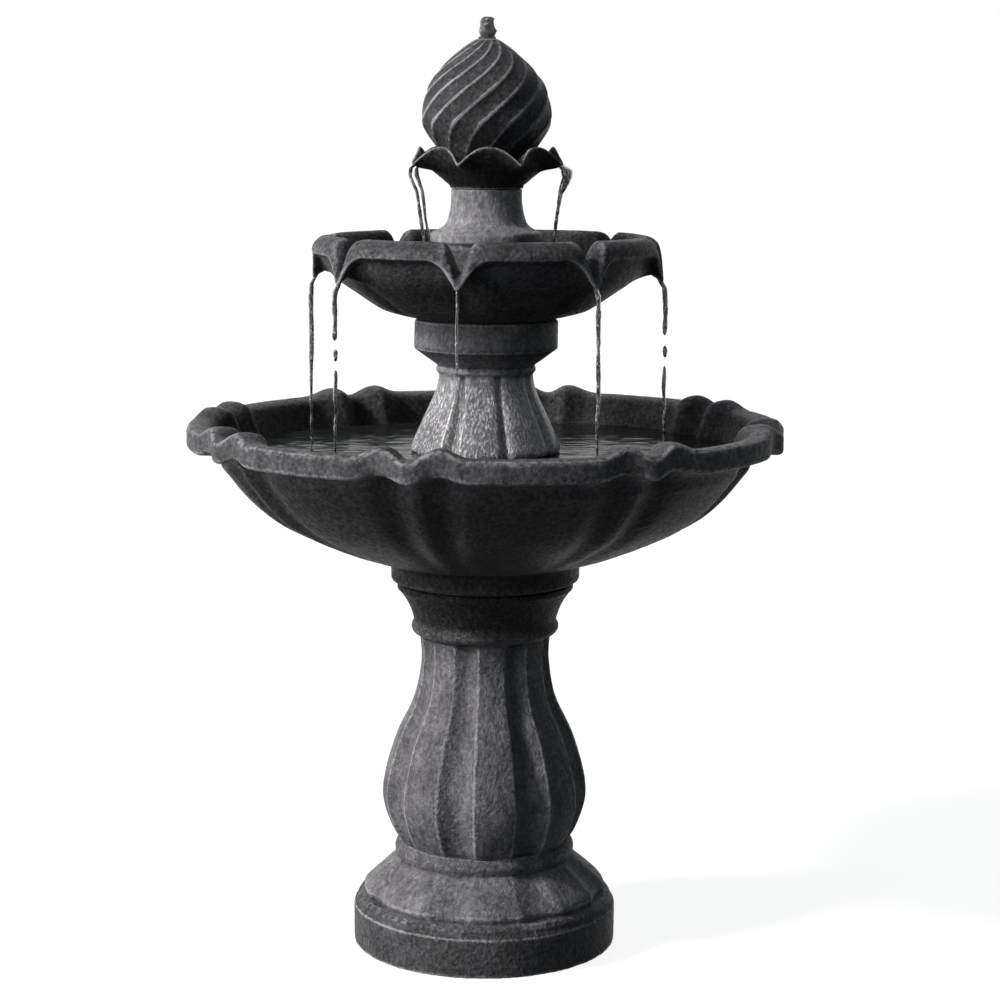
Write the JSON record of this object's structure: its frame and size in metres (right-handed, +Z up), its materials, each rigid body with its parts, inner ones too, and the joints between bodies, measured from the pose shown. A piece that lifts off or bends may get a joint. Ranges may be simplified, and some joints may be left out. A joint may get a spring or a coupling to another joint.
{
  "type": "tiered birdbath fountain",
  "caption": "Free-standing garden fountain with a fluted vase pedestal, stacked petal bowls and a spiral finial, in dark cast resin with a pump inside its column.",
  "frame": {"origin": "the middle of the underside of the pedestal's base", "axes": "+Z up along the fountain's axis, -Y towards the viewer, +X to the viewer's right"},
  "size_m": [0.5824, 0.5824, 0.897],
  "materials": {
    "cast_resin": "matte",
    "black_rubber": "matte",
    "pump_plastic": "satin",
    "white_nylon": "satin",
    "ferrite": "satin",
    "shaft_ceramic": "polished",
    "clear_vinyl": "gloss",
    "steel": "satin"
  },
  "bodies": {
    "stand": {"pedestal_base": "cast_resin", "pedestal_column": "cast_resin", "bowl_gasket": "black_rubber", "lower_bowl": "cast_resin", "bowl_nipple": "white_nylon", "bowl_nipple_washer": "black_rubber", "bowl_ring_nut": "white_nylon", "cord_stopper": "black_rubber", "pump_housing": "pump_plastic", "pump_volute": "pump_plastic", "volute_o_ring": "black_rubber", "volute_screws": "steel", "pump_strainer": "pump_plastic", "impeller_shaft": "shaft_ceramic", "shaft_bushes": "black_rubber", "pump_feet": "black_rubber", "cord_gland": "pump_plastic", "riser_tube": "clear_vinyl", "tube_clamp": "steel"},
    "impeller": {"impeller_magnet": "ferrite", "impeller_vanes": "white_nylon"},
    "dial": {"flow_dial": "pump_plastic"},
    "middle_tier": {"middle_column": "cast_resin", "middle_gasket": "black_rubber", "middle_bowl": "cast_resin", "middle_nipple": "white_nylon", "middle_nipple_washer": "black_rubber", "middle_ring_nut": "white_nylon", "middle_grommet": "black_rubber"},
    "upper_tier": {"upper_column": "cast_resin", "upper_gasket": "black_rubber", "upper_bowl": "cast_resin", "upper_nipple": "white_nylon", "upper_nipple_washer": "black_rubber", "upper_ring_nut": "white_nylon", "upper_grommet": "black_rubber"},
    "finial_top": {"finial": "cast_resin", "bubbler_nozzle": "pump_plastic"}
  },
  "joints": [
    {"name": "impeller_spin", "type": "hinge", "parent": "stand", "child": "impeller", "pos_m": [0, 0, 0.4375], "axis": [0, 1, 0], "continuous": true},
    {"name": "dial_turn", "type": "hinge", "parent": "stand", "child": "dial", "pos_m": [0, -0.026, 0.4375], "axis": [0, 1, 0], "range_deg": [0, 90]},
    {"name": "middle_tier_lift", "type": "slide", "parent": "stand", "child": "middle_tier", "axis": [0, 0, 1], "range_m": [0, 0.47]},
    {"name": "upper_tier_lift", "type": "slide", "parent": "middle_tier", "child": "upper_tier", "axis": [0, 0, 1], "range_m": [0, 0.23]},
    {"name": "finial_lift", "type": "slide", "parent": "upper_tier", "child": "finial_top", "axis": [0, 0, 1], "range_m": [0, 0.11]}
  ]
}
